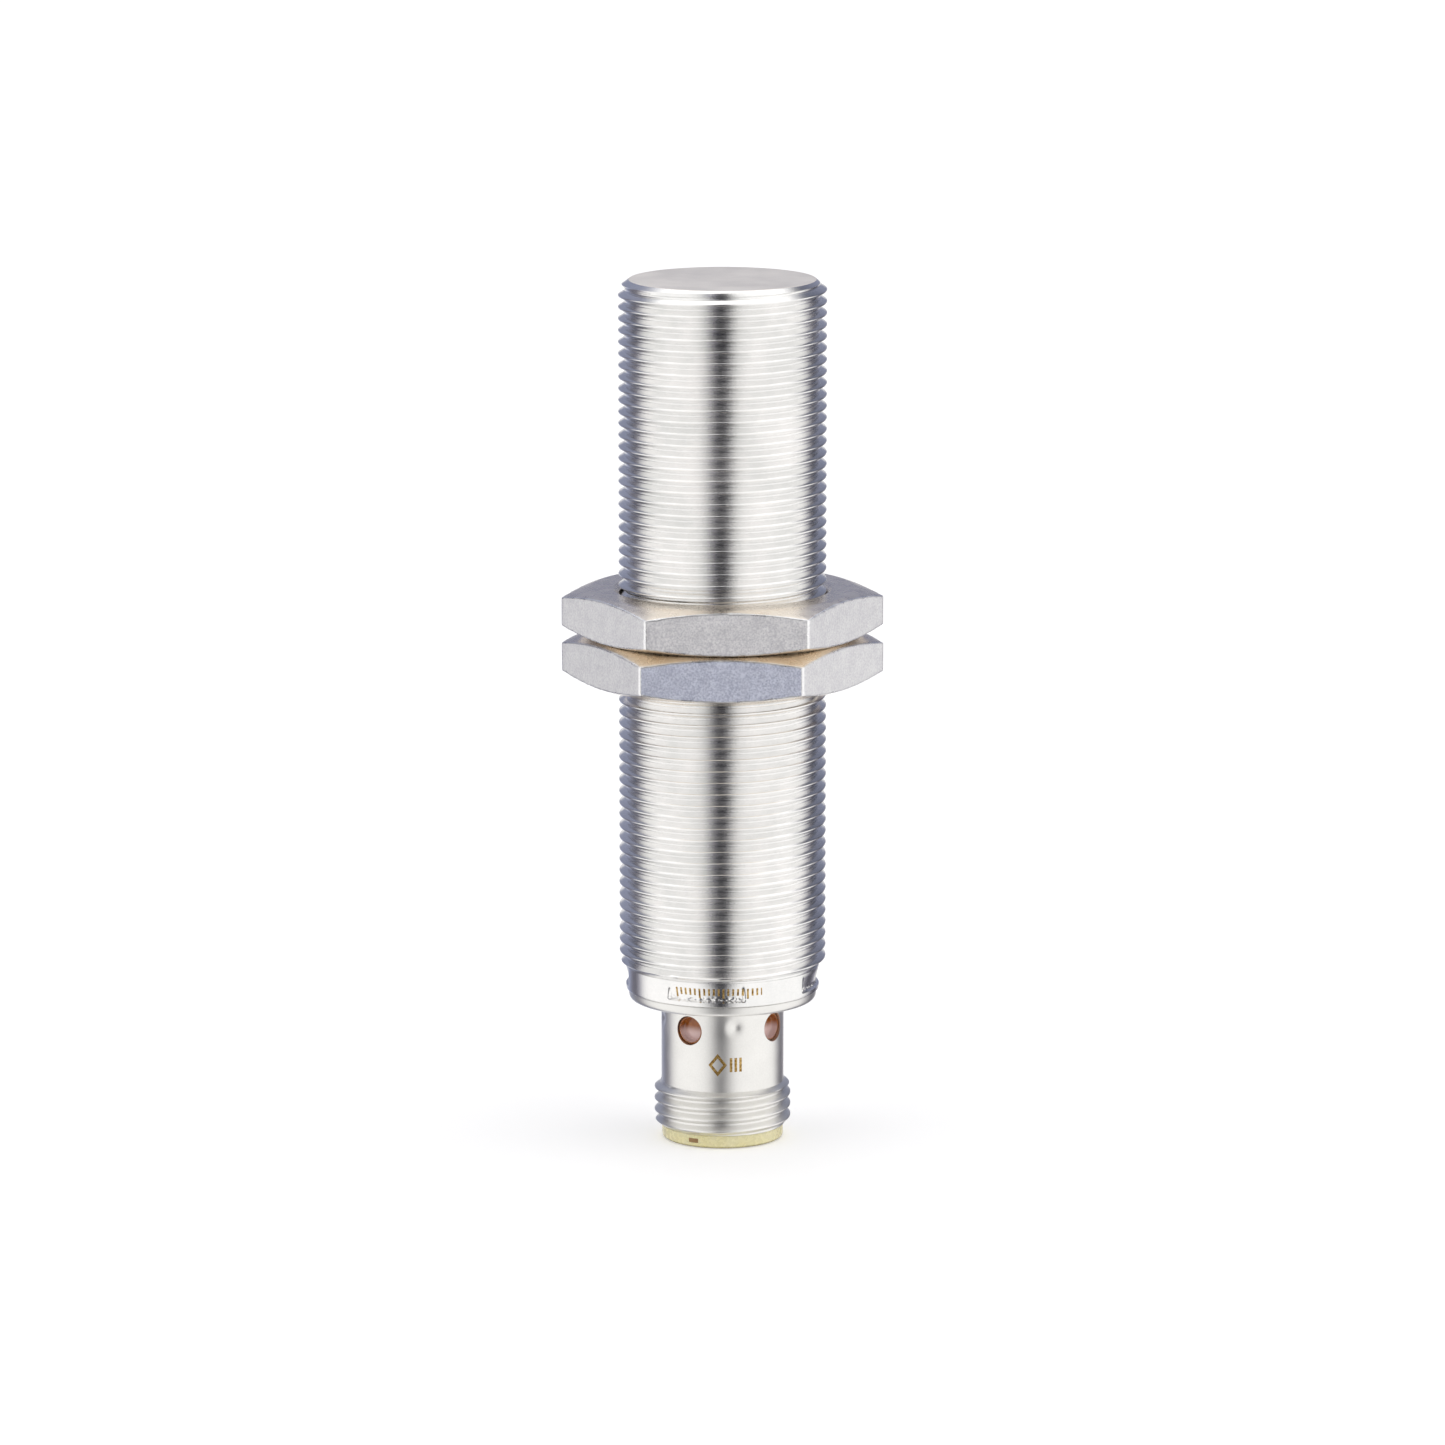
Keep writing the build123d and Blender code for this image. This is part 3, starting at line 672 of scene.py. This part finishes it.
def makeHousing(s):
    top = cadBox[1][2] / mm
    mesh = bmesh.new()
    slope = (s["crestRadius"] - s["faceRadius"]) / (s["rimHeight"] - s["faceEdge"])
    thread = makeThread(cutTree, barrelSteel, s["segments"], s["pitch"], s["crestRadius"], s["rootRadius"],
                        s["crestHeight"], s["collarTop"], top - s["faceEdge"], s["rootRadius"], s["faceRadius"],
                        s["threadRise"], slope)
    joinMesh(mesh, thread)
    angles = evenAngles(s["segments"])
    face = [(0, top), (2, top), (4, top), (6, top), (7.6, top), (7.9, top - 0.004), (7.97, top - 0.018),
            (s["faceRadius"], top - s["faceEdge"])]
    turnOutline(mesh, face, angles, material=1)

    def collarShape(angle, radius, height):
        return radius - stakeDepth(s, angle, height), height

    # the collar's top ring has more corners than the thread's foot, so its first band is fans
    parts = s["collarParts"]
    fine = evenAngles(s["segments"] * parts)
    inner, outer = s["rootRadius"] * mm, (s["collarRadius"] - 0.03) * mm
    foot = [mesh.verts.new((inner * math.cos(a), inner * math.sin(a), s["collarTop"] * mm)) for a in angles]
    edge = [mesh.verts.new((outer * math.cos(a), outer * math.sin(a), s["collarTop"] * mm)) for a in fine]
    for i in range(len(foot)):
        fan = [edge[(i * parts + k) % len(edge)] for k in range(parts + 1)]
        mesh.faces.new([foot[(i + 1) % len(foot)], foot[i]] + fan).material_index = 2

    heights = [15.25, 15.1, 14.95, 14.75, 14.5, 14.25, 14.1, 14.0, 13.94, 13.88, 13.82, 13.77, 13.72, 13.67, 13.62,
               13.56, 13.48, 13.36]
    collar = [(s["collarRadius"] - 0.03, s["collarTop"]), (s["collarRadius"], s["collarTop"] - 0.04)]
    collar += [(s["collarRadius"], z) for z in heights]
    turnOutline(mesh, collar, fine, shape=collarShape, material=2)
    low, bore, roof = s["collarStart"], s["boreRadius"], top - s["faceThickness"]
    foot = [(s["collarRadius"], heights[-1]), (8.33, 13.28), (8.26, 13.22), (8.16, low), (7.8, low), (bore, low),
            (bore, low + 2), (bore, 30), (bore, 50), (bore, roof), (0, roof)]
    turnOutline(mesh, foot, fine, material=2)
    piece = finishMesh(mesh, "threadedHousing", [barrelSteel, faceSteel, collarSteel])
    finishPiece(piece, "barrel_steel", "sensor", "housing")


cutTree = makeThreadTree("cutThread", cutProfile)
makeHousing(housingSettings)
print("housing made")


# ---- lock nuts

nutSettings = {
    "acrossFlats": 24.0,
    "height": 4.0,
    "faceRadius": 11.4,
    "chamfer": 18.0,
    "cornerRounding": 0.3,
    "sideSteps": 40,
    "boreCrest": 9.05,
    "boreRoot": 8.5,
    "countersink": 9.4,
    "countersinkSlope": -1.6,
    "edgeRound": 0.08,
    "burr": 0.09,
    "paintedShadeSides": (1, 4),         # of the six flats, the back and the front one, which get the painted shade
}
nuts = {
    # each nut's material for its front and back flats carries painted shade
    "upper": {"low": 44.3, "azimuth": 1.7, "seed": 11, "paintedShadeFlats": nutPaintedShadeSteel},
    "lower": {"low": 40.3, "azimuth": -0.5, "seed": 12, "paintedShadeFlats": nutPaintedBlueShadeSteel},
}


# directions round a hexagon, closer together at its corners
def hexagonAngles(s, start):
    flat = s["acrossFlats"] / 2
    edge = math.degrees(math.atan((flat - s["cornerRounding"]) * math.tan(math.radians(30)) / flat))
    ease = 30 - edge
    inner = s["sideSteps"] - 4
    angles = []
    for side in range(6):
        offsets = [0, ease / 2] + [ease + (60 - 2 * ease) * i / inner for i in range(inner + 1)] + [60 - ease / 2]
        angles += [start + math.radians(60 * side + o) for o in offsets]
    return angles


def hexagonRadius(s, angle, start):
    flat, rounding = s["acrossFlats"] / 2, s["cornerRounding"]
    fromCorner = (math.degrees(angle - start) + 30) % 60 - 30
    fromFlat = 30 - abs(fromCorner)
    edge = math.degrees(math.atan((flat - rounding) * math.tan(math.radians(30)) / flat))
    if fromFlat <= edge:
        return flat / math.cos(math.radians(fromFlat))
    centre = (flat - rounding) / math.cos(math.radians(30))
    off = math.radians(fromCorner)
    return centre * math.cos(off) + math.sqrt(rounding ** 2 - (centre * math.sin(off)) ** 2)


# one end of a nut at an angle, from the bore out to the side: (radius, height, finish of the band that follows)
def nutEnd(s, place, angle, turned, end, way):
    reach = hexagonRadius(s, angle, turned)
    x, y = math.cos(angle), math.sin(angle)
    jitter = noise.noise(Vector((x * 95, y * 95, place["seed"] + end))) * s["burr"]
    jitter += noise.noise(Vector((x * 25, y * 25, place["seed"] + end))) * s["burr"]
    start, soft = s["faceRadius"], s["edgeRound"]
    tilt = math.tan(math.radians(s["chamfer"]))
    drop = (reach - start) * tilt
    near = reach - 1.5 * soft - abs(jitter)
    points = [(s["countersink"], end, 1), (s["countersink"] + 0.05, end, 1), (10.2, end, 1), (11.0, end, 1),
              (start - 0.08, end, 1), (start + 0.06, end + way * 0.015, 1)]
    points += [(start + (near - start) * share, end + way * (near - start) * share * tilt, 1)
               for share in (0.35, 0.7)]
    points += [(near, end + way * (near - start) * tilt, 2),
               (reach - 0.3 * soft, end + way * (drop + abs(jitter) * 0.5), 2),
               (reach, end + way * (drop + soft + abs(jitter)), 0),
               (reach, end + way * (drop + 3 * soft), 0)]
    return points


def makeNut(s, side, place):
    low, high = place["low"], place["low"] + s["height"]
    turned = math.radians(place["azimuth"])
    count = 6 * s["sideSteps"]
    mesh = bmesh.new()
    pitch = housingSettings["pitch"]
    crestZ = housingSettings["crestHeight"] + pitch * turned / math.tau
    thread = makeThread(cutTree, nutEndSteel, count, pitch, s["boreCrest"], s["boreRoot"], crestZ, low, high,
                        s["countersink"], s["countersink"], s["countersinkSlope"], s["countersinkSlope"],
                        bore=True)
    joinMesh(mesh, thread, turnedBy=turned, material=1)
    angles = hexagonAngles(s, turned)
    even = evenAngles(count, turned)
    columns = []
    for angle, level in zip(angles, even):
        upper = nutEnd(s, place, angle, turned, high, -1)
        lower = nutEnd(s, place, angle, turned, low, 1)
        # evenly spaced at the bore, gathered towards the corners further out
        gap = (angle - level + math.pi) % math.tau - math.pi
        column = []
        for r, z, _ in upper + lower[::-1]:
            direction = level + gap * min(1, max(0, (r - 9.5) / 1.8))
            column.append(mesh.verts.new((r * math.cos(direction) * mm, r * math.sin(direction) * mm, z * mm)))
        columns.append(column)
    bands = [finish for _, _, finish in upper[:-1]] + [0] + [finish for _, _, finish in lower[:-1]][::-1]
    for i, first in enumerate(columns):
        second = columns[(i + 1) % count]
        for k, finish in enumerate(bands):
            face = mesh.faces.new((first[k], second[k], second[k + 1], first[k + 1]))
            onCorner = i % s["sideSteps"] in (0, 1, s["sideSteps"] - 1, s["sideSteps"] - 2)
            face.material_index = finish
            # slot 3 is the painted shade on the front and back flats
            if finish == 0:
                face.material_index = 2 if onCorner else 3 if i // s["sideSteps"] in s["paintedShadeSides"] else 0
    piece = finishMesh(mesh, side + "LockNut", [nutFlatSteel, nutEndSteel, nutEdgeSteel, place["paintedShadeFlats"]],
                       sharpAngle=28)
    finishPiece(piece, "nut_steel", side + "_nut", side + "_nut", side + "_nut_ring")


for side, place in nuts.items():
    makeNut(nutSettings, side, place)
print("nuts made")


# ---- connector shell: plug thread, nose with windows and dimples, flange and spigot

shellSettings = {
    "segments": 160,
    "threadCrest": 5.9,
    "threadRoot": 5.36,
    "threadLow": 1.15,
    "threadHigh": 5.02,
    "crestHeight": 0.9,
    "nose": 5.3,
    "bore": 4.9,
    "flangeLow": 12.3,
    "flange": 8.1,
    "spigot": 7.39,
    "windowRadius": 1.25,
    "windowHeight": 10.3,
    "windowAzimuth": -33.5,
    "windowEdge": 0.03,
    "dimpleAzimuth": 12.5,
    "dimpleHeight": 10.7,
    "dimpleRadius": 1.05,
    "dimpleDepth": 0.12,
    "dimplePit": 0.42,
    "pitDepth": 0.07,
}


def dimpleDepth(s, angle, height):
    azimuth = math.degrees(angle) + 90 - s["dimpleAzimuth"]
    across = math.radians((azimuth + 45) % 90 - 45) * s["nose"]
    away = math.hypot(across, height - s["dimpleHeight"])
    depth = 0
    for radius, deep in ((s["dimpleRadius"], s["dimpleDepth"]), (s["dimplePit"], s["pitDepth"])):
        if away < radius:
            depth += deep * (0.5 + 0.5 * math.cos(math.pi * away / radius))
    return depth


# a closed shape turned about a line that runs outwards from the axis at an azimuth
def makeCutter(name, outline, azimuth, height, material, slot=0, count=64):
    mesh = bmesh.new()
    turnOutline(mesh, outline, evenAngles(count), material=slot)
    outwards = Vector((math.sin(math.radians(azimuth)), -math.cos(math.radians(azimuth)), 0))
    turn = outwards.to_track_quat("Z", "Y").to_matrix().to_4x4()
    mesh.transform(Matrix.Translation((0, 0, height * mm)) @ turn)
    return finishMesh(mesh, name, [material])


def combine(piece, others, operation):
    for other in others:
        modifier = piece.modifiers.new("combine", "BOOLEAN")
        modifier.operation = operation
        modifier.solver = "EXACT"
        modifier.object = other
    bpy.context.view_layer.update()
    graph = bpy.context.evaluated_depsgraph_get()
    data = bpy.data.meshes.new_from_object(piece.evaluated_get(graph))
    mesh = bmesh.new()
    mesh.from_mesh(data)
    bmesh.ops.remove_doubles(mesh, verts=mesh.verts, dist=0.002 * mm)
    bmesh.ops.dissolve_degenerate(mesh, edges=mesh.edges, dist=0.0001 * mm)
    for edge in mesh.edges:
        edge.smooth = edge.calc_face_angle(0) < math.radians(30)
    mesh.to_mesh(data)
    mesh.free()
    piece.modifiers.clear()
    old = piece.data
    piece.data = data
    bpy.data.meshes.remove(old)
    for other in others:
        bpy.data.objects.remove(other)


def makeShell(s):
    mesh = bmesh.new()
    low, high, crest, root = s["threadLow"], s["threadHigh"], s["threadCrest"], s["threadRoot"]
    rolledTree = makeThreadTree("rolledThread", rolledProfile)
    thread = makeThread(rolledTree, noseSteel, s["segments"], housingSettings["pitch"], crest, root,
                        s["crestHeight"], low, high, s["nose"], s["nose"], 1.4, 2.0)
    joinMesh(mesh, thread)
    angles = evenAngles(s["segments"])

    def dimpled(angle, radius, height):
        return radius - dimpleDepth(s, angle, height), height

    noseRows = [high, 5.6, 6.4, 7.2, 8.0, 8.8, 9.4]
    noseRows += [9.5 + 0.15 * i for i in range(17)] + [12.1, 12.22]
    turnOutline(mesh, [(s["nose"], z) for z in noseRows], angles, shape=dimpled)
    flange, under = s["flange"], s["flangeLow"]
    body = [(s["nose"], 12.22), (s["nose"] + 0.03, 12.28), (s["nose"] + 0.1, under)]
    body += [(r, under) for r in (6.2, 7.2, flange - 0.45)]
    body += [(flange - 0.45 + 0.45 * math.sin(math.radians(a)), under + 0.45 - 0.45 * math.cos(math.radians(a)))
             for a in (18, 36, 54, 72, 90)]
    body += [(flange, 13.0), (flange - 0.02, 13.12), (flange - 0.09, 13.17), (flange - 0.2, 13.19),
             (s["spigot"], 13.19), (s["spigot"], 15.1), (6.42, 15.1), (6.42, 16.1), (s["spigot"], 16.1),
             (s["spigot"], 16.8), (7.2, 17.0), (6.2, 17.0), (6.2, 12.8), (s["bore"], 12.8), (s["bore"], 10.3),
             (s["bore"], 8), (s["bore"], 5), (s["bore"], low), (s["nose"], low)]
    turnOutline(mesh, body, angles)
    piece = finishMesh(mesh, "connectorShell", [noseSteel])
    wide, edge = s["windowRadius"], s["windowEdge"]
    drill = [(0, 4.0), (wide, 4.0), (wide, 5.05), (wide + edge * 0.3, 5.16), (wide + edge, 5.34),
             (wide + edge, 6.5), (0, 6.5)]
    cutters = [makeCutter("windowDrill", drill, s["windowAzimuth"] + 90 * k, s["windowHeight"], noseSteel)
               for k in range(4)]
    combine(piece, cutters, "DIFFERENCE")
    finishPiece(piece, "plug_steel", "sensor", "connector_shell")


makeShell(shellSettings)
print("connector shell made")


# ---- amber light ring with a dished lens in each window

lightSettings = {"outer": 4.89, "inner": 3.86, "low": 9.0, "high": 11.7, "lens": 1.2, "reach": 5.0, "dish": 0.55,
                 "dishRadius": 1.06}


def makeLightRing(s):
    mesh = bmesh.new()
    outer, inner, low, high = s["outer"], s["inner"], s["low"], s["high"]
    turnOutline(mesh, [(inner, low), (outer - 0.1, low), (outer, low + 0.1), (outer, 10.3), (outer, high - 0.1),
                       (outer - 0.1, high), (inner, high), (inner, 10.3), (inner, low)], evenAngles(96))
    amber = moulded["mouldedAmberPolycarbonate"]
    # the second slot is the lens dish, amber with painted shade and a painted reflection
    piece = finishMesh(mesh, "lightRing", [amber, moulded["dishedAmberPolycarbonatePaintedShadeAndReflection"]])
    reach, wide, dish, rim = s["reach"], s["lens"], s["dish"], s["dishRadius"]
    lens = [(0, reach), (wide - 0.05, reach), (wide, reach - 0.05), (wide, 4.3), (0, 4.3)]
    # steep sides and a slightly domed floor
    steps = 8
    hollow = [(rim * 0.86 * i / steps, reach - dish + 0.06 - 0.06 * (i / steps) ** 2) for i in range(steps + 1)]
    hollow += [(rim * 0.92, reach - dish + 0.05), (rim * 0.96, reach - dish + 0.12), (rim, reach - 0.02),
               (rim, 6), (0, 6)]
    azimuths = [shellSettings["windowAzimuth"] + 90 * k for k in range(4)]
    z = shellSettings["windowHeight"]
    combine(piece, [makeCutter("lens", lens, a, z, amber) for a in azimuths], "UNION")
    combine(piece, [makeCutter("hollow", hollow, a, z, amber, slot=1) for a in azimuths], "DIFFERENCE")
    finishPiece(piece, "amber_plastic", "sensor", "light_ring")


makeLightRing(lightSettings)
print("light ring made")


# ---- contact carrier: socket, key rib and the lip that shows under the shell

carrierSettings = {
    "segments": 144,
    "lip": 5.25,
    "lipTop": 1.15,
    "socket": 4.4,
    "socketFloor": 8.3,
    "body": 4.89,
    "bodyTop": 8.9,
    "plug": 3.84,
    "plugTop": 12.3,
    "keyAzimuth": -29.0,
    "keyWidth": 1.0,
    "keyDepth": 0.6,
    "keyStart": 0.9,
    "scarWidth": 11.5,           # degrees
    "scarLow": 0.42,
    "scarHigh": 0.78,
    "scarDepth": 0.06,
}


def makeCarrier(s):
    mesh = bmesh.new()
    angles = evenAngles(s["segments"], frontAngle(s["keyAzimuth"]))
    lip, socket = s["lip"], s["socket"]

    def scarred(angle, radius, height):
        away = (angle - frontAngle(s["keyAzimuth"]) + math.pi) % math.tau - math.pi
        if radius > lip - 0.01 and s["scarLow"] <= height <= s["scarHigh"]:
            return radius - (s["scarDepth"] if abs(math.degrees(away)) < s["scarWidth"] / 2 else 0), height
        # the key rib stands in from the socket's wall, flat-topped and square-sided
        ribFace = socket - s["keyDepth"]
        acrossKey = abs(math.sin(away)) * ribFace < s["keyWidth"] / 2 and math.cos(away) > 0
        if radius == socket and height >= s["keyStart"] and acrossKey:
            return ribFace / math.cos(away), height
        return radius, height

    outline = [(0, s["socketFloor"]), (2, s["socketFloor"]), (socket - s["keyDepth"] - 0.1, s["socketFloor"]),
               (socket, s["socketFloor"]), (socket, 5), (socket, 2), (socket, s["keyStart"] + 0.04),
               (socket, s["keyStart"] - 0.01), (socket, 0.3), (socket + 0.06, 0.08),
               (socket + 0.16, 0), (4.8, 0), (lip - 0.28, 0.0), (lip - 0.14, 0.04), (lip - 0.04, 0.13),
               (lip, 0.26),
               (lip, 0.38), (lip, s["scarLow"]), (lip, 0.54), (lip, 0.66), (lip, s["scarHigh"]), (lip, 0.82),
               (lip, 1.0), (lip, 1.06), (lip - 0.04, 1.12), (lip - 0.12, s["lipTop"]), (s["body"], s["lipTop"]),
               (s["body"], 5), (s["body"], s["bodyTop"]), (s["plug"], s["bodyTop"]),
               (s["plug"], s["plugTop"] - 0.2),
               (s["plug"] - 0.2, s["plugTop"]), (0, s["plugTop"])]
    turnOutline(mesh, outline, angles, shape=scarred)
    for face in mesh.faces:
        middle = face.calc_center_median() / mm
        away = abs((math.degrees(math.atan2(middle.y, middle.x) - frontAngle(s["keyAzimuth"])) + 180) % 360 - 180)
        low = s["scarLow"] <= middle.z <= s["scarHigh"]
        if low and away < s["scarWidth"] / 2 and math.hypot(middle.x, middle.y) > lip - 0.2:
            face.material_index = 1
    # the carrier's plastic, with a painted shade along its bottom rim
    carrierPlasticPaintedShade = moulded["mouldedCarrierPolyurethanePaintedShade"]
    piece = finishMesh(mesh, "contactCarrier", [carrierPlasticPaintedShade, moulded["trimmedGateScar"]])
    finishPiece(piece, "carrier_plastic", "sensor", "contact_carrier")


makeCarrier(carrierSettings)


# ---- gold contact pins

pinSettings = {"circle": 2.5, "firstAzimuth": 16, "radius": 0.5, "tip": 1.2, "floor": 8.25, "root": 0.69}


def makePins(s):
    r, tip = s["radius"], s["tip"]
    arc = [(r * math.sin(math.radians(a)), tip + r - r * math.cos(math.radians(a))) for a in range(0, 91, 15)]
    arc[0] = (0, tip)
    outline = arc + [(r, 3), (r, 6), (r, s["floor"]), (s["root"], s["floor"] + 0.1), (s["root"], 9.4),
                     (0.89, 9.4), (0.89, 10.2), (s["root"], 10.2), (s["root"], 13.0), (0.39, 13.0), (0.39, 14.0), (0, 14.0)]
    for number in range(4):
        mesh = bmesh.new()
        turnOutline(mesh, outline, evenAngles(32))
        angle = frontAngle(s["firstAzimuth"] + 90 * number)
        circle = s["circle"] * mm
        mesh.transform(Matrix.Translation((circle * math.cos(angle), circle * math.sin(angle), 0)))
        piece = finishMesh(mesh, f"contactPin{number + 1}", [contactGold])
        finishPiece(piece, "contact_gold", "sensor", f"contact_pin_{number + 1}")


makePins(pinSettings)
print("carrier and pins made")
